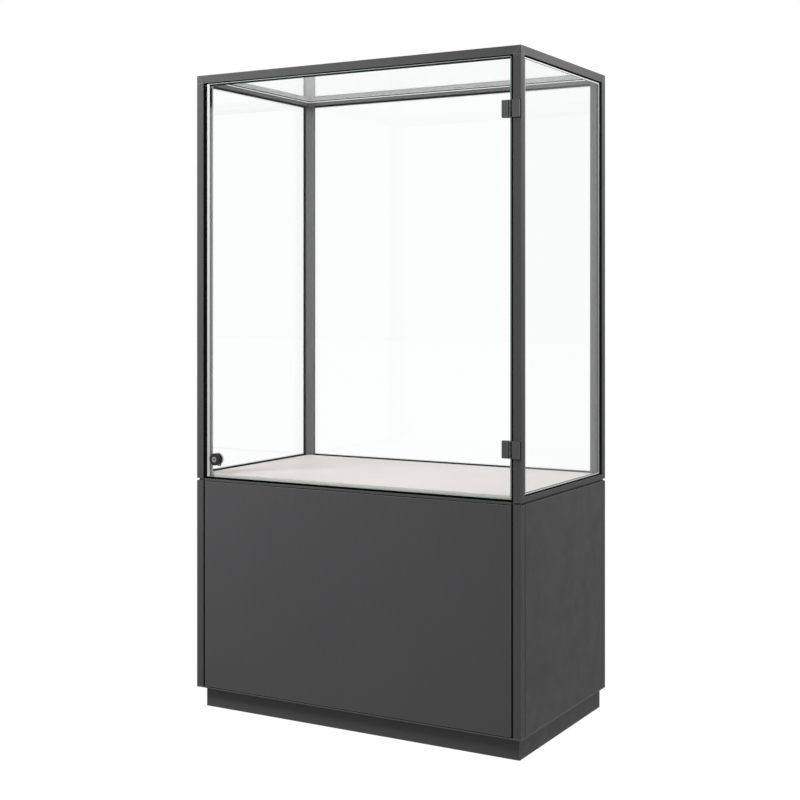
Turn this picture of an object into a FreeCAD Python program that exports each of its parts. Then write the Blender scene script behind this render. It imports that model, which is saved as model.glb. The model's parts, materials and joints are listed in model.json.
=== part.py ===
import FreeCAD, Part
import os
import re

import Sketcher

# Glass display case on a storage base.
# Millimetres, +Z up, front towards -Y, origin on the floor under the middle of the overall box.

SIZES = {
    # Overall
    "case_width": 1000,
    "case_depth": 560,
    "case_height": 1775,
    "edge_round": 0.8,
    "seat_gap": 0.3,
    "slip_fit": 0.05,
    "overrun": 5,
    "socket_wall": 1.6,
    "socket_floor": 0.7,
    # Plinth and feet
    "plinth_height": 60,
    "plinth_inset_front": 25,
    "plinth_inset_side": 16,
    "plinth_inset_rear": 1,
    "plinth_board": 16,
    "floor_gap": 2.5,
    "block_side": 50,
    "block_height": 28,
    "foot_pad_radius": 16,
    "foot_pad_height": 5,
    "foot_neck_radius": 7,
    "foot_neck_height": 5,
    "foot_stud_radius": 4,
    "foot_stud_length": 46,
    "lock_nut_radius": 7.5,
    "lock_nut_height": 6,
    # Base cabinet
    "base_height": 580,
    "bottom_plate": 3,
    "shadow_gap": 6,
    "shadow_recess": 5,
    "base_post_size": 22,
    "base_post_wall": 2,
    "panel": 18,
    "panel_groove_width": 2.5,
    "panel_groove_depth": 4,
    "panel_screw_radius": 2,
    "panel_screw_length": 20,
    "panel_screw_head_radius": 4,
    "panel_screw_head": 2,
    "panel_screw_inset": 70,
    # Base door, its pivots and push latch
    "base_door_thickness": 18,
    "base_door_round": 1.2,
    "base_door_gap_side": 6,
    "base_door_gap_top": 1.5,
    "base_door_gap_bottom": 1.5,
    "pivot_from_edge": 12,
    "pivot_from_face": 11,
    "pivot_radius": 3,
    "pivot_depth": 22,
    "pivot_collar_radius": 6,
    "latch_from_post": 34,
    "latch_width": 20,
    "latch_height": 24,
    "latch_length": 58,
    "latch_standoff": 6,
    "plunger_radius": 4,
    "plunger_length": 34,
    "plunger_travel": 3,
    "strike_side": 16,
    "strike_thickness": 1.5,
    # Frame of the glass case
    "frame_size": 22,
    "frame_wall": 2.5,
    "groove_depth": 5,
    "rear_bead": 18,
    "spigot_length": 28,
    "spigot_fit": 0.2,
    "lower_rail_height": 13,
    "flange_width": 25,
    "flange_thickness": 3,
    "sill_height": 5,
    "sill_setback": 3,
    "sill_depth": 11,
    "bolt_radius": 3,
    "bolt_head_radius": 5,
    "bolt_head": 4,
    "bolt_spread_side": 160,
    "bolt_spread_rear": 260,
    # Panes and deck
    "glass_setback": 3.5,
    "pane": 6,
    "gasket": 1,
    "gasket_lip": 4.5,
    "deck_thickness": 12,
    "deck_clearance": 1,
    "deck_round": 0.6,
    # Glass door
    "door_glass": 8,
    "door_arris": 0.7,
    "door_gap_closing": 16,
    "door_gap_hinge": 8,
    "door_gap_top": 4,
    "door_gap_bottom": 2,
    "seal_wall": 1,
    "seal_front_leg": 7,
    "seal_rear_leg": 3,
    "dust_seal_gap": 0.6,
    "dust_seal_thickness": 1.4,
    "dust_seal_overlap": 5,
    "dust_strip_width": 13,
    "dust_strip_setback": 3,
    "dust_side_overlap": 1,
    "stop_width": 27,
    "stop_thickness": 2,
    "stop_depth": 11,
    "stop_screw_radius": 1.5,
    "stop_screw_length": 6,
    "stop_screw_head_radius": 3,
    "stop_screw_head": 1.5,
    "stop_screw_inset": 60,
    "catch_height": 73,
    "catch_depth": 4,
    "catch_plate_thickness": 2,
    "catch_plate_width": 7.5,
    "catch_plate_height": 50,
    # Hinges of the glass door
    "hinge_height": 43,
    "hinge_from_bottom": 123,
    "hinge_from_top": 130,
    "hinge_offset": 1.5,
    "hinge_block": 6,
    "hinge_round": 1.5,
    "leaf_width": 19.5,
    "clamp_width": 18,
    "clamp_from_edge": 3,
    "clamp_back": 4,
    "knuckle_radius": 3,
    "knuckle_gap": 0.4,
    "web_thickness": 2,
    "web_inset": 0.2,
    "hinge_pin_radius": 1.5,
    "clamp_screw_radius": 2,
    "clamp_screw_head_radius": 3.5,
    "clamp_screw_head": 2.2,
    "clamp_screw_spread": 11,
    "clamp_screw_bite": 4,
    "clamp_hole_radius": 4,
    # Lock of the glass door
    "lock_from_edge": 29,
    "lock_from_bottom": 49,
    "lock_proud": 10,
    "lock_flange_radius": 17,
    "lock_flange_chamfer": 1.8,
    "lock_ring_radius": 10,
    "lock_ring_depth": 0.8,
    "lock_body_radius": 9,
    "lock_hole_radius": 9.5,
    "lock_washer": 1,
    "lock_washer_radius": 15,
    "lock_nut_thickness": 6,
    "lock_back_nut_radius": 17,
    "lock_nut_chamfer": 1.2,
    "plug_radius": 7,
    "plug_recess": 0.5,
    "plug_square": 7,
    "key_slot_width": 1.8,
    "key_slot_height": 8,
    "key_slot_depth": 7,
    "cam_thickness": 2,
    "cam_width": 14,
    "cam_reach": 20,
    "cam_screw_radius": 1.5,
    "cam_screw_length": 6,
    "cam_screw_head_radius": 4.5,
    "cam_screw_head": 2.5,
}

# Places worked out from the sizes above, in the order in which they need each other
PLACES = {
    "half_width": "case_width / 2",
    "front_face": "(lock_proud - case_depth) / 2",
    "rear_face": "(lock_proud + case_depth) / 2",
    "mid_depth": "lock_proud / 2",
    "plate_top": "plinth_height + bottom_plate",
    "base_top": "plinth_height + base_height",
    "frame_bottom": "base_top + shadow_gap",
    "post_top": "case_height - frame_size",
    "core_far": "frame_size - groove_depth - frame_wall",
    "spigot_near": "frame_wall + spigot_fit",
    "spigot_far": "core_far - spigot_fit",
    "pocket_edge": "frame_size - groove_depth",
    "pane_edge": "pocket_edge + gasket",
    "pocket_out": "glass_setback - gasket",
    "pane_in": "glass_setback + pane",
    "pocket_in": "pane_in + gasket",
    "lower_rail_top": "frame_bottom + lower_rail_height",
    "pocket_bottom": "lower_rail_top - groove_depth",
    "pane_bottom": "pocket_bottom + gasket",
    "deck_bottom": "frame_bottom + flange_thickness",
    "deck_top": "deck_bottom + deck_thickness",
    "base_door_right": "half_width - base_post_size - base_door_gap_side",
    "base_door_bottom": "plate_top + base_door_gap_bottom",
    "base_door_top": "base_top - base_door_gap_top",
    "pivot_x": "base_door_right - pivot_from_edge",
    "pivot_y": "front_face + pivot_from_face",
    "latch_x": "base_post_size + latch_from_post - half_width",
    "latch_z": "base_top - latch_height / 2",
    "strike_back": "front_face + base_door_thickness + strike_thickness",
    "latch_front": "front_face + base_door_thickness + latch_standoff",
    "plunger_tip": "strike_back + seat_gap",
    "door_left": "frame_size + door_gap_closing - half_width",
    "door_right": "half_width - frame_size - door_gap_hinge",
    "door_bottom": "frame_bottom + sill_height + door_gap_bottom",
    "door_top": "post_top - door_gap_top",
    "door_back": "front_face + door_glass",
    "stop_front": "door_back + catch_plate_thickness + seat_gap",
    "stop_left": "frame_size - half_width",
    "catch_bottom": "door_top - catch_height",
    "stop_bottom": "deck_top + seat_gap",
    "stop_top": "catch_bottom - seat_gap",
    "stop_screw_y": "stop_front + (stop_thickness + stop_depth) / 2",
    "stop_screw_low": "stop_bottom + stop_screw_inset",
    "stop_screw_run": "stop_top - stop_screw_inset - stop_screw_low",
    "sill_top": "frame_bottom + sill_height",
    "dust_front": "door_back + dust_seal_gap",
    "dust_back": "dust_front + dust_seal_thickness",
    "dust_level": "door_top - dust_seal_overlap",
    "hinge_x": "door_right + hinge_offset",
    "hinge_y": "front_face - hinge_block / 2",
    "clamp_right": "door_right - clamp_from_edge",
    "clamp_screw_x": "clamp_right - clamp_width / 2",
    "lock_x": "door_left + lock_from_edge",
    "lock_z": "door_bottom + lock_from_bottom",
    "lock_front": "front_face - lock_proud",
    "lock_back": "door_back + lock_washer + lock_nut_thickness",
    "lock_length": "lock_back - lock_front",
    "lock_bore": "plug_radius + slip_fit",
    "cam_front": "lock_back + seat_gap",
    "cam_back": "cam_front + cam_thickness",
}

doc = FreeCAD.newDocument("glass_display_case")
sizes = doc.addObject("Spreadsheet::Sheet", "Sizes")
places = doc.addObject("Spreadsheet::Sheet", "Places")
probe = doc.addObject("Spreadsheet::Sheet", "Probe")
nodes = []

TURN_TO = {
    "x": FreeCAD.Rotation(FreeCAD.Vector(0, 1, 0), 90),
    "y": FreeCAD.Rotation(FreeCAD.Vector(1, 0, 0), -90),
    "z": FreeCAD.Rotation(),
}


def tie(text):
    """The expression with each named size or place pointed at its sheet."""
    def owner(match):
        word = match.group(0)
        if word in SIZES:
            return "Sizes." + word
        return "Places." + word if word in PLACES else word
    return re.sub(r"[a-z_]+", owner, text)


def fill_sheets():
    for row, (name, number) in enumerate(SIZES.items(), start=1):
        sizes.set(f"A{row}", name)
        sizes.set(f"B{row}", str(number))
        sizes.setAlias(f"B{row}", name)
    doc.recompute()
    for row, (name, rule) in enumerate(PLACES.items(), start=1):
        places.set(f"A{row}", name)
        places.setAlias(f"B{row}", name)
    for row, rule in enumerate(PLACES.values(), start=1):
        places.set(f"B{row}", "=" + re.sub(r"Places\.", "", tie(rule)))
    doc.recompute()


def value(text):
    """The number that a rule gives now, read through a sheet that nothing depends on."""
    probe.set("A1", "=" + tie(text))
    probe.recompute()
    return float(probe.A1)


def bind(item, prop, text):
    item.setExpression(prop, tie(text))


def node(label, item):
    """Keep an object as a sub-part under its own name."""
    item.Label = label
    nodes.append(item)
    return item


# Spans measured from the outer faces of the case

def left(near, far):
    return f"({near}) - half_width", f"({far}) - half_width"


def right(near, far):
    return f"half_width - ({far})", f"half_width - ({near})"


def front(near, far):
    return f"front_face + ({near})", f"front_face + ({far})"


def rear(near, far):
    return f"rear_face - ({far})", f"rear_face - ({near})"


def under_top(near, far):
    return f"case_height - ({far})", f"case_height - ({near})"


def wide(inset):
    return f"({inset}) - half_width", f"half_width - ({inset})"


def deep(front_inset, rear_inset):
    return f"front_face + ({front_inset})", f"rear_face - ({rear_inset})"


def about(middle, width):
    return f"({middle}) - ({width}) / 2", f"({middle}) + ({width}) / 2"


SIDES = {"left": left, "right": right}
ENDS = {"front": front, "rear": rear}
CORNERS = [(end, side) for end in ENDS for side in SIDES]


# Building blocks

def box(name, x_span, y_span, z_span):
    item = doc.addObject("Part::Box", name)
    sides = ("Length", "Width", "Height")
    for axis, side, (low, high) in zip("xyz", sides, (x_span, y_span, z_span)):
        bind(item, side, f"({high}) - ({low})")
        bind(item, f"Placement.Base.{axis}", low)
    return item


def rod(name, axis, centre, span, radius, hexagon=False):
    """A round or six-sided rod along an axis; centre gives its other coordinates in x, y, z order."""
    item = doc.addObject("Part::Prism" if hexagon else "Part::Cylinder", name)
    item.Placement = FreeCAD.Placement(FreeCAD.Vector(), TURN_TO[axis])
    low, high = span
    bind(item, "Circumradius" if hexagon else "Radius", radius)
    bind(item, "Height", f"({high}) - ({low})")
    others = iter(centre)
    for letter in "xyz":
        bind(item, f"Placement.Base.{letter}", low if letter == axis else next(others))
    return item


def fuse(name, items):
    item = doc.addObject("Part::MultiFuse", name)
    item.Shapes = items
    return item


def cut(name, base, tools):
    item = doc.addObject("Part::Cut", name)
    item.Base = base
    item.Tool = tools[0] if len(tools) == 1 else fuse(name + "_tools", tools)
    return item


def common(name, first, second):
    item = doc.addObject("Part::Common", name)
    item.Base = first
    item.Tool = second
    return item


def group(name, items):
    item = doc.addObject("Part::Compound", name)
    item.Links = items
    return item


def runs_along(edge, axes):
    start, end = (vertex.Point for vertex in edge.Vertexes)
    span = end - start
    parts = {"x": abs(span.x), "y": abs(span.y), "z": abs(span.z)}
    return max(parts, key=parts.get) in axes


def screw(name, axis, centre, spans, sizes_of, drive):
    """A screw with a six-sided socket in the low or the high end of its head."""
    (low, high), shank_span = spans
    head = rod(f"{name}_head", axis, centre, (low, high), f"{sizes_of}_head_radius")
    shank = rod(f"{name}_shank", axis, centre, shank_span, f"{sizes_of}_radius")
    depth = {
        "low": (f"{low} - overrun", f"{high} - socket_floor"),
        "high": (f"{low} + socket_floor", f"{high} + overrun"),
    }
    socket_radius = f"{sizes_of}_head_radius - socket_wall"
    socket = rod(f"{name}_socket", axis, centre, depth[drive], socket_radius, hexagon=True)
    return cut(name, fuse(f"{name}_whole", [head, shank]), [socket])


def rounded(name, blank, radius, axes="xyz"):
    """The blank with its edges along the given axes rounded."""
    doc.recompute()
    item = doc.addObject("Part::Fillet", name)
    item.Base = blank
    size = value(radius)
    item.Edges = [
        (number, size, size)
        for number, edge in enumerate(blank.Shape.Edges, start=1)
        if runs_along(edge, axes)
    ]
    return item


def outline(body, role, points):
    """A closed sketch on one of the body's own planes, each corner tied to the sheet."""
    sketch = body.newObject("Sketcher::SketchObject", body.Name + "_outline")
    plane = next(item for item in body.Origin.OriginFeatures if item.Role == role)
    sketch.AttachmentSupport = [(plane, "")]
    sketch.MapMode = "FlatFace"
    corners = [FreeCAD.Vector(value(u), value(v), 0) for u, v in points]
    count = len(corners)
    for number in range(count):
        following = corners[(number + 1) % count]
        sketch.addGeometry(Part.LineSegment(corners[number], following), False)
    for number in range(count):
        sketch.addConstraint(Sketcher.Constraint("Coincident", number, 2, (number + 1) % count, 1))
    for number, corner in enumerate(points):
        for kind, own_axis, text in zip(("DistanceX", "DistanceY"), (-2, -1), corner):
            if text == "0":
                sketch.addConstraint(Sketcher.Constraint("PointOnObject", number, 1, own_axis))
                continue
            rule = Sketcher.Constraint(kind, -1, 1, number, 1, value(text))
            bind(sketch, f"Constraints[{sketch.addConstraint(rule)}]", text)
    return sketch


def set_place(item, axis, x, y, z):
    item.Placement = FreeCAD.Placement(FreeCAD.Vector(), TURN_TO[axis])
    for letter, text in zip("xyz", (x, y, z)):
        bind(item, f"Placement.Base.{letter}", text)


def profile(name, points, length, x, y, z):
    """A bar along Z with the given plan outline."""
    body = doc.addObject("PartDesign::Body", name)
    sketch = outline(body, "XY_Plane", points)
    pad = body.newObject("PartDesign::Pad", name + "_pad")
    pad.Profile = sketch
    bind(pad, "Length", length)
    set_place(body, "z", x, y, z)
    return body


def turned(name, points, axis, x, y, z):
    """A turned piece from its half outline of radius and height points."""
    body = doc.addObject("PartDesign::Body", name)
    sketch = outline(body, "XZ_Plane", points)
    turn = body.newObject("PartDesign::Revolution", name + "_turn")
    turn.Profile = sketch
    turn.ReferenceAxis = (sketch, ["V_Axis"])
    set_place(body, axis, x, y, z)
    return body


WEDGE_TURNS = {
    # Run axis and taper axis of a mitre wedge: its rotation and the third axis with its sense
    ("x", "y"): (FreeCAD.Rotation(), 1),
    ("x", "z"): (FreeCAD.Rotation(FreeCAD.Vector(1, 0, 0), 90), -1),
    ("y", "z"): (FreeCAD.Rotation(FreeCAD.Vector(1, 1, 1), 120), 1),
    ("y", "x"): (FreeCAD.Rotation(FreeCAD.Vector(1, 1, 0), 180), -1),
}


def wedge(name, axes, full, short, taper, third, full_at_low):
    """A bar along the first axis that shortens from full to short across the second axis."""
    item = doc.addObject("Part::Wedge", name)
    turn, sense = WEDGE_TURNS[axes]
    item.Placement = FreeCAD.Placement(FreeCAD.Vector(), turn)
    first, last = (full, short) if full_at_low else (short, full)
    if sense < 0:
        third = (f"-({third[1]})", f"-({third[0]})")
    rules = {"Xmin": first[0], "Xmax": first[1], "X2min": last[0], "X2max": last[1]}
    rules.update({"Ymin": taper[0], "Ymax": taper[1]})
    rules.update({"Zmin": third[0], "Zmax": third[1], "Z2min": third[0], "Z2max": third[1]})
    for prop, text in rules.items():
        bind(item, prop, text)
    return item


# Plinth and feet

def plinth_boards():
    height = ("floor_gap", "plinth_height")
    front_far = "plinth_inset_front + plinth_board"
    rear_far = "plinth_inset_rear + plinth_board"
    spans = {
        "plinth_front_board": (wide("plinth_inset_side"), front("plinth_inset_front", front_far)),
        "plinth_rear_board": (wide("plinth_inset_side"), rear("plinth_inset_rear", rear_far)),
    }
    for side, across in SIDES.items():
        side_span = across("plinth_inset_side", "plinth_inset_side + plinth_board")
        spans[f"plinth_{side}_board"] = (side_span, deep(front_far, rear_far))
    for label, (x_span, y_span) in spans.items():
        blank = box(label + "_blank", x_span, y_span, height)
        node(label, rounded(label, blank, "edge_round", "z"))


def levelling_feet():
    side_near = "plinth_inset_side + plinth_board"
    blocks, feet, nuts = [], [], []
    stud_top = "foot_pad_height + foot_neck_height + foot_stud_length"
    neck_top = "foot_pad_height + foot_neck_height"
    foot_outline = [
        ("0", "0"),
        ("foot_pad_radius", "0"),
        ("foot_pad_radius", "foot_pad_height"),
        ("foot_neck_radius", neck_top),
        ("foot_stud_radius", neck_top),
        ("foot_stud_radius", stud_top),
        ("0", stud_top),
    ]
    for end, side in CORNERS:
        tag = f"{end}_{side}"
        end_near = f"plinth_inset_{end} + plinth_board"
        x_span = SIDES[side](side_near, side_near + " + block_side")
        y_span = ENDS[end](end_near, end_near + " + block_side")
        x = SIDES[side](side_near + " + block_side / 2", "0")[0 if side == "left" else 1]
        y = ENDS[end](end_near + " + block_side / 2", "0")[0 if end == "front" else 1]
        block_low = "plinth_height - block_height"
        blank = box(f"block_{tag}_blank", x_span, y_span, (block_low, "plinth_height"))
        bore_span = (block_low + " - lock_nut_height - overrun", "plinth_height")
        bore = rod(f"foot_bore_{tag}", "z", (x, y), bore_span, "foot_stud_radius + slip_fit")
        blocks.append(cut(f"block_{tag}", blank, [bore]))
        feet.append(turned(f"foot_{tag}", foot_outline, "z", x, y, "0"))
        nut_span = (f"{block_low} - lock_nut_height", block_low)
        nut = rod(f"foot_nut_{tag}_blank", "z", (x, y), nut_span, "lock_nut_radius", hexagon=True)
        nuts.append(cut(f"foot_nut_{tag}", nut, [bore]))
    node("plinth_corner_blocks", group("plinth_corner_blocks", blocks))
    node("levelling_feet", group("levelling_feet", feet))
    node("foot_lock_nuts", group("foot_lock_nuts", nuts))


# Base cabinet

def panel_screw_holes():
    """Bores for the screws that hold the base panels, by post and by panel."""
    levels = {"low": "plate_top + panel_screw_inset", "high": "base_top - panel_screw_inset"}
    head_far = "base_post_size - base_post_wall"
    reach = "base_post_size + panel_screw_length"
    sites, by_owner = [], {}
    for level, height in levels.items():
        for end, side in CORNERS:
            x = SIDES[side]("panel / 2", "panel / 2")[0]
            sites.append((f"{end}_{side}", f"{side}_panel", level, "y", (x, height), ENDS[end]))
        for side in SIDES:
            y = rear("panel / 2", "panel / 2")[0]
            sites.append((f"rear_{side}", "back_panel", level, "x", (y, height), SIDES[side]))
    screws = []
    for post, panel, level, axis, centre, span in sites:
        tag = f"{panel}_{post}_{level}"
        near = head_far + " - panel_screw_head"
        hole_span = span(near, reach)
        hole = rod(f"hole_{tag}", axis, centre, hole_span, "panel_screw_radius + slip_fit")
        spans = span(near, head_far), span(near, reach + " - seat_gap")
        drive = "low" if span in (left, front) else "high"
        screws.append(screw(f"screw_{tag}", axis, centre, spans, "panel_screw", drive))
        by_owner.setdefault(post, []).append(hole)
        by_owner.setdefault(panel, []).append(hole)
    node("panel_screws", group("panel_screws", screws))
    return by_owner


def base_posts(holes):
    height = ("plate_top", "base_top")
    core_far = "base_post_size - base_post_wall"
    for end, side in CORNERS:
        label = f"base_post_{end}_{side}"
        x_of, y_of = SIDES[side], ENDS[end]
        blank = box(label + "_blank", x_of("0", "base_post_size"), y_of("0", "base_post_size"), height)
        bar = rounded(label + "_bar", blank, "edge_round", "z")
        inner = ("base_post_wall", core_far)
        core = box(label + "_core", x_of(*inner), y_of(*inner), height)
        node(label, cut(label, bar, [core] + holes[f"{end}_{side}"]))


def base_panels(holes):
    height = ("plate_top", "base_top")
    groove_far = "base_post_size + panel_groove_width"
    groove_near = "base_post_size - overrun"
    groove_face = ("-overrun", "panel_groove_depth")
    length = deep("base_post_size", "base_post_size")
    for side, across in SIDES.items():
        label = f"base_{side}_panel"
        blank = box(label + "_blank", across("0", "panel"), length, height)
        grooves = [
            box(f"{label}_{end}_groove", across(*groove_face), along(groove_near, groove_far), height)
            for end, along in ENDS.items()
        ]
        node(label, cut(label, blank, grooves + holes[f"{side}_panel"]))
    label = "base_back_panel"
    blank = box(label + "_blank", wide("base_post_size"), rear("0", "panel"), height)
    grooves = [
        box(f"{label}_{side}_groove", across(groove_near, groove_far), rear(*groove_face), height)
        for side, across in SIDES.items()
    ]
    node(label, cut(label, blank, grooves + holes["back_panel"]))


def base_plates(bolt_holes):
    at_pivot = ("pivot_x", "pivot_y")
    loose = "pivot_radius + slip_fit"
    blank = box("base_bottom_blank", wide("0"), deep("0", "0"), ("plinth_height", "plate_top"))
    plate = rounded("base_bottom_round", blank, "edge_round", "z")
    low_span = ("plinth_height - overrun", "plate_top + overrun")
    hole = rod("bottom_pivot_hole", "z", at_pivot, low_span, loose)
    node("base_bottom_plate", cut("base_bottom_plate", plate, [hole]))
    recess = ("shadow_recess", "shadow_recess")
    height = ("base_top", "frame_bottom")
    blank = box("base_cap_blank", wide("shadow_recess"), deep(*recess), height)
    lip_x = wide("base_post_size + base_door_gap_side")
    lip = box("base_cap_lip", lip_x, front("0", "shadow_recess + overrun"), height)
    cap = fuse("base_cap_whole", [blank, rounded("base_cap_edge", lip, "edge_round", "x")])
    high_span = ("base_top - overrun", "frame_bottom + overrun")
    hole = rod("top_pivot_hole", "z", at_pivot, high_span, loose)
    node("base_cap_plate", cut("base_cap_plate", cap, [hole] + bolt_holes))


def base_door():
    x_span = wide("base_post_size + base_door_gap_side")
    height = ("base_door_bottom", "base_door_top")
    blank = box("base_door_blank", x_span, front("0", "base_door_thickness"), height)
    slab = rounded("base_door_slab", blank, "base_door_round")
    at_pivot = ("pivot_x", "pivot_y")
    top_bore = ("base_door_top - pivot_depth", "base_door_top + overrun")
    low_bore = ("base_door_bottom - overrun", "base_door_bottom + pivot_depth")
    bores = [
        rod(f"base_door_{name}_bore", "z", at_pivot, span, "pivot_radius + slip_fit")
        for name, span in (("top", top_bore), ("bottom", low_bore))
    ]
    node("base_door", cut("base_door", slab, bores))
    top_span = (top_bore[0] + " + seat_gap", "frame_bottom")
    low_span = ("plinth_height", low_bore[1] + " - seat_gap")
    top_pin = rod("top_pivot", "z", at_pivot, top_span, "pivot_radius")
    low_pin = rod("low_pivot", "z", at_pivot, low_span, "pivot_radius")
    collar_span = ("plate_top", "base_door_bottom - seat_gap")
    collar = rod("low_pivot_collar", "z", at_pivot, collar_span, "pivot_collar_radius")
    bottom_pin = fuse("bottom_pivot", [low_pin, collar])
    node("base_door_pivots", group("base_door_pivots", [top_pin, bottom_pin]))


def push_latch():
    at_plunger = ("latch_x", "latch_z")
    plunger_end = "plunger_tip + plunger_length"
    y_span = ("latch_front", "latch_front + latch_length")
    blank = box("push_latch_blank", about("latch_x", "latch_width"), y_span, about("latch_z", "latch_height"))
    case = rounded("push_latch_case", blank, "edge_round", "y")
    bore_span = ("latch_front - overrun", plunger_end + " + plunger_travel + seat_gap")
    bore = rod("push_latch_bore", "y", at_plunger, bore_span, "plunger_radius + slip_fit")
    node("push_latch_body", cut("push_latch_body", case, [bore]))
    plunger = rod("push_latch_plunger", "y", at_plunger, ("plunger_tip", plunger_end), "plunger_radius")
    node("push_latch_plunger", plunger)
    strike_span = ("strike_back - strike_thickness", "strike_back")
    strike_side = about("latch_x", "strike_side")
    strike = box("push_latch_strike", strike_side, strike_span, about("latch_z", "strike_side"))
    node("push_latch_strike", strike)


# Glass case frame

def pane_blocks(name, edge, out, inner, bottom):
    """Spans of a block round each pane, from its edge line and its two faces."""
    upright = (bottom, f"case_height - ({edge})")
    spans = {
        "left": (left(out, inner), deep(edge, edge), upright),
        "right": (right(out, inner), deep(edge, edge), upright),
        "back": (wide(edge), rear(out, inner), upright),
        "top": (wide(edge), deep(edge, edge), under_top(out, inner)),
    }
    return {pane: box(f"{pane}_{name}", *span) for pane, span in spans.items()}


def panes_and_gaskets():
    """The four panes in their channel gaskets; returns the pockets that the frame leaves for them."""
    pockets = pane_blocks("pocket", "pocket_edge", "pocket_out", "pocket_in", "pocket_bottom")
    panes = pane_blocks("pane", "pane_edge", "glass_setback", "pane_in", "pane_bottom")
    lip = "frame_size + gasket_lip"
    past_out, past_in = "pocket_out - overrun", "pocket_in + overrun"
    windows = pane_blocks("window", lip, past_out, past_in, "lower_rail_top + gasket_lip")
    gaskets = []
    for name, pane in panes.items():
        node(f"{name}_glass", pane)
        gaskets.append(cut(f"{name}_gasket", pockets[name], [pane, windows[name]]))
    node("pane_gaskets", group("pane_gaskets", gaskets))
    return pockets


def mitre_blocks():
    """The space of each top rail, mitred at both ends against the next rail and the post."""
    full_x, short_x = wide("0"), wide("frame_size")
    full_y, short_y = deep("0", "0"), deep("frame_size", "frame_size")
    height = under_top("0", "frame_size")
    blocks = {}
    for end, along in ENDS.items():
        depth = along("0", "frame_size")
        plan = wedge(f"{end}_plan", ("x", "y"), full_x, short_x, depth, height, end == "front")
        face = wedge(f"{end}_face", ("x", "z"), full_x, short_x, height, depth, False)
        blocks[end] = common(f"{end}_mitre", plan, face)
    for side, across in SIDES.items():
        width = across("0", "frame_size")
        plan = wedge(f"{side}_plan", ("y", "x"), full_y, short_y, width, height, side == "left")
        face = wedge(f"{side}_face", ("y", "z"), full_y, short_y, height, width, False)
        blocks[side] = common(f"{side}_mitre", plan, face)
    return blocks


def top_rails(pockets, mitres):
    height = under_top("0", "frame_size")
    core_height = under_top("frame_wall", "core_far")
    spans = {}
    for end, along in ENDS.items():
        width = wide("0")
        spans[end] = ("x", (width, along("0", "frame_size")), (width, along("frame_wall", "core_far")))
    for side, across in SIDES.items():
        depth = deep("0", "0")
        spans[side] = ("y", (across("0", "frame_size"), depth), (across("frame_wall", "core_far"), depth))
    uprights = {"front": [], "rear": ["back"], "left": ["left"], "right": ["right"]}
    for name, (axis, outer, inner) in spans.items():
        label = f"top_{name}_rail"
        blank = box(label + "_blank", *outer, height)
        bar = rounded(label + "_bar", blank, "edge_round", axis)
        mitred = common(label + "_mitred", bar, mitres[name])
        core = box(label + "_core", *inner, core_height)
        cuts = [core, pockets["top"]] + [pockets[pane] for pane in uprights[name]]
        node(label, cut(label, mitred, cuts))


def corner_connectors(pockets, mitres):
    """Three-way corner pieces: a pyramid head between the rails and a spigot into each member."""
    snug = ("spigot_near", "spigot_far")
    reach = ("spigot_near", "frame_size + spigot_length")
    whole = ("0", "frame_size")
    pieces = []
    for end, side in CORNERS:
        tag = f"{end}_{side}"
        x_of, y_of = SIDES[side], ENDS[end]
        blank = box(f"corner_{tag}_blank", x_of(*whole), y_of(*whole), under_top(*whole))
        block = rounded(f"corner_{tag}_block", blank, "edge_round", "z")
        tools = [mitres[end], mitres[side], pockets[side]]
        if end == "rear":
            tools.append(pockets["back"])
        head = cut(f"corner_{tag}_head", block, tools)
        spigots = [
            box(f"corner_{tag}_spigot_x", x_of(*reach), y_of(*snug), under_top(*snug)),
            box(f"corner_{tag}_spigot_y", x_of(*snug), y_of(*reach), under_top(*snug)),
            box(f"corner_{tag}_spigot_z", x_of(*snug), y_of(*snug), under_top(*reach)),
        ]
        pieces.append(fuse(f"corner_{tag}", [head] + spigots))
    node("corner_connectors", group("corner_connectors", pieces))


def posts(pockets, stop_holes):
    """The upright posts; the rear ones have a bead that stands in front of the back pane."""
    height = ("frame_bottom", "post_top")
    for end, side in CORNERS:
        label = f"post_{end}_{side}"
        x_of, y_of = SIDES[side], ENDS[end]
        blank = box(label + "_blank", x_of("0", "frame_size"), y_of("0", "frame_size"), height)
        bar = rounded(label + "_bar", blank, "edge_round", "z")
        core = box(label + "_core", x_of("frame_wall", "core_far"), y_of("frame_wall", "core_far"), height)
        cuts = [core, pockets[side]]
        if end == "rear":
            bead_spans = x_of("pocket_edge", "frame_size + rear_bead"), y_of("pocket_in", "frame_size")
            bead = box(label + "_bead_blank", *bead_spans, ("lower_rail_top + seat_gap", "post_top"))
            bar = fuse(label + "_whole", [bar, rounded(label + "_bead", bead, "edge_round", "z")])
            cuts.append(pockets["back"])
        if (end, side) == ("front", "left"):
            cuts += stop_holes
        node(label, cut(label, bar, cuts))


def case_bolts():
    """Bolts up through the cap plate into the rail flanges, with the bores that they need."""
    middle = "frame_size + flange_width / 2"
    sites = []
    for side, across in SIDES.items():
        x = across(middle, middle)[0]
        sites += [(side, x, f"mid_depth {sign} bolt_spread_side") for sign in "+-"]
    rear_y = rear(middle, middle)[0]
    sites += [("rear", f"{sign}bolt_spread_rear", rear_y) for sign in "+-"]
    bolts, holes = [], {"left": [], "right": [], "rear": []}
    for number, (owner, x, y) in enumerate(sites, start=1):
        spans = ("base_top - bolt_head", "base_top"), ("base_top - bolt_head", "deck_bottom")
        bolts.append(screw(f"case_bolt_{number}", "z", (x, y), spans, "bolt", "low"))
        hole_span = ("base_top", "deck_bottom")
        holes[owner].append(rod(f"bolt_hole_{number}", "z", (x, y), hole_span, "bolt_radius + slip_fit"))
    node("case_bolts", group("case_bolts", bolts))
    return holes


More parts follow.
